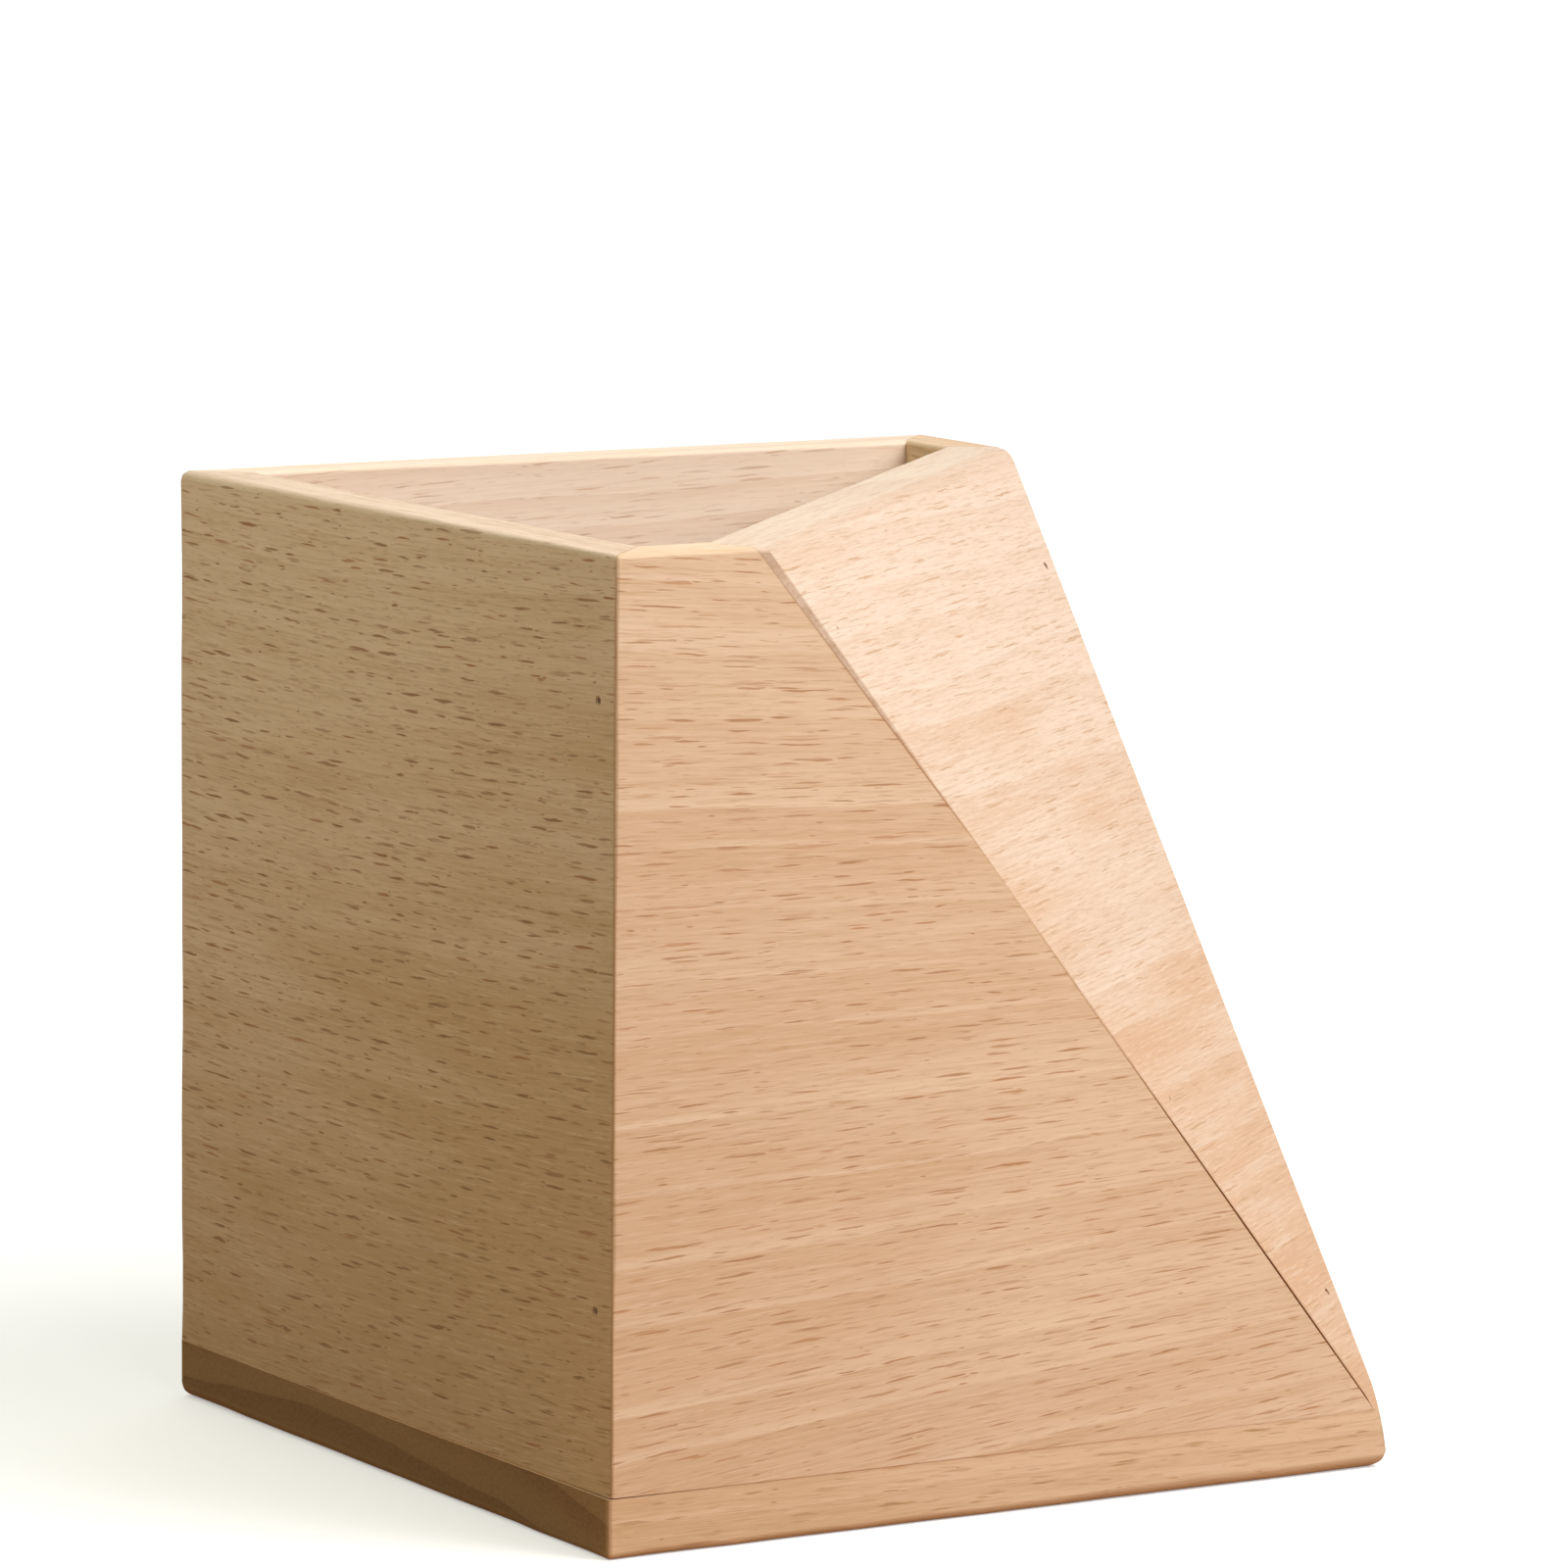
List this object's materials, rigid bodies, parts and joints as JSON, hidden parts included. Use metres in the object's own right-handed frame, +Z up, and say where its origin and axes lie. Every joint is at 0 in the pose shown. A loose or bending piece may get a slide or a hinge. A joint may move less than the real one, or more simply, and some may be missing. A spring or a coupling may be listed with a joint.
{
  "type": "pen holder",
  "caption": "Free-standing square pen cup of mitred beech boards, open at the top, with a corner cut away by a sloping triangular panel.",
  "frame": {"origin": "centre of the square foot, on the surface that the cup stands on", "axes": "+Z up out of the open rim; +X along the front wall towards the cut corner; -Y out of the front wall, so that the sloping panel faces +X and -Y"},
  "size_m": [0.0936, 0.0936, 0.1],
  "materials": {
    "beech_base": "sanded, thin matt oil",
    "beech_left": "sanded, thin matt oil",
    "beech_back": "sanded, thin matt oil",
    "beech_front": "sanded, thin matt oil",
    "beech_right": "sanded, thin matt oil",
    "beech_panel": "sanded, thin matt oil",
    "pin_steel": "dull, darkened"
  },
  "bodies": {
    "root": {"base_board": "beech_base", "left_wall": "beech_left", "back_wall": "beech_back", "front_wall": "beech_front", "right_wall": "beech_right", "slant_panel": "beech_panel", "pin_left_front_upper": "pin_steel", "pin_left_front_lower": "pin_steel", "pin_slant_front_upper": "pin_steel", "pin_slant_front_lower": "pin_steel", "pin_slant_right_upper": "pin_steel", "pin_slant_right_lower": "pin_steel", "pin_back_left_upper": "pin_steel", "pin_back_left_lower": "pin_steel", "pin_back_right_upper": "pin_steel", "pin_back_right_lower": "pin_steel", "pin_base_left": "pin_steel", "pin_base_back": "pin_steel", "pin_base_front": "pin_steel", "pin_base_right": "pin_steel"}
  },
  "joints": []
}
